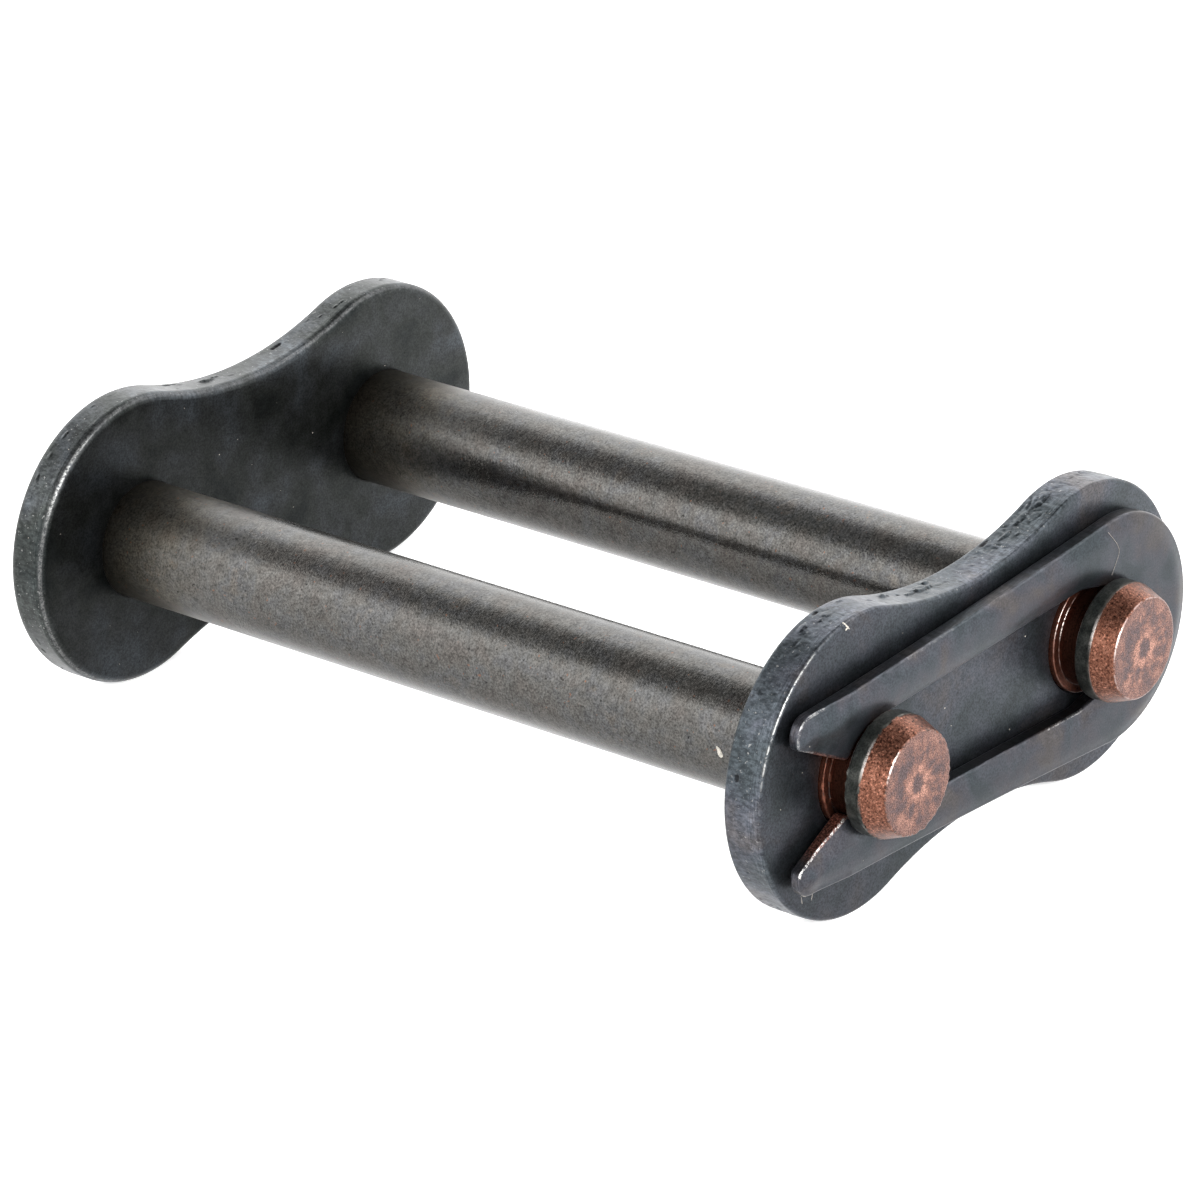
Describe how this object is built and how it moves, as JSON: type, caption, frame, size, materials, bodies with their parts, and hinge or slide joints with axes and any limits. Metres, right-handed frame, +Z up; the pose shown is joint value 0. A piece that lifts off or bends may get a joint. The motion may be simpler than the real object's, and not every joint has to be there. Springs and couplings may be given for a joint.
{
  "type": "chain connecting link",
  "caption": "Duplex roller chain connecting link: twin plates joined by parallel pins, the loose cover plate held on by a flat spring clip.",
  "frame": {"origin": "on the ground below the middle of the link: halfway between the pins and halfway along them", "axes": "+X along the pitch, towards the clip's open end; +Y along the pins, from the riveted back plate to the clip; +Z up, square to the plane of the pins"},
  "size_m": [0.0462, 0.0706, 0.0208],
  "materials": {
    "oxide_plate": "blue-black oxide on blanked steel, rubbed bright on the rims",
    "pin_steel": "ground and tempered brown-grey, coppery on the free ends",
    "spring_steel": "satin blued spring steel"
  },
  "bodies": {
    "pin_link": {"back_plate": "oxide_plate", "bow_pin": "pin_steel", "mouth_pin": "pin_steel"},
    "cover": {"cover_plate": "oxide_plate"},
    "clip": {"spring_clip": "spring_steel"}
  },
  "joints": [
    {"name": "clip_slide", "type": "slide", "parent": "pin_link", "child": "clip", "axis": [-1, 0, 0], "range_m": [0, 0.045], "deforming": ["spring_clip"]},
    {"name": "cover_slide", "type": "slide", "parent": "pin_link", "child": "cover", "axis": [0, -1, 0], "range_m": [0, 0.0585]}
  ]
}
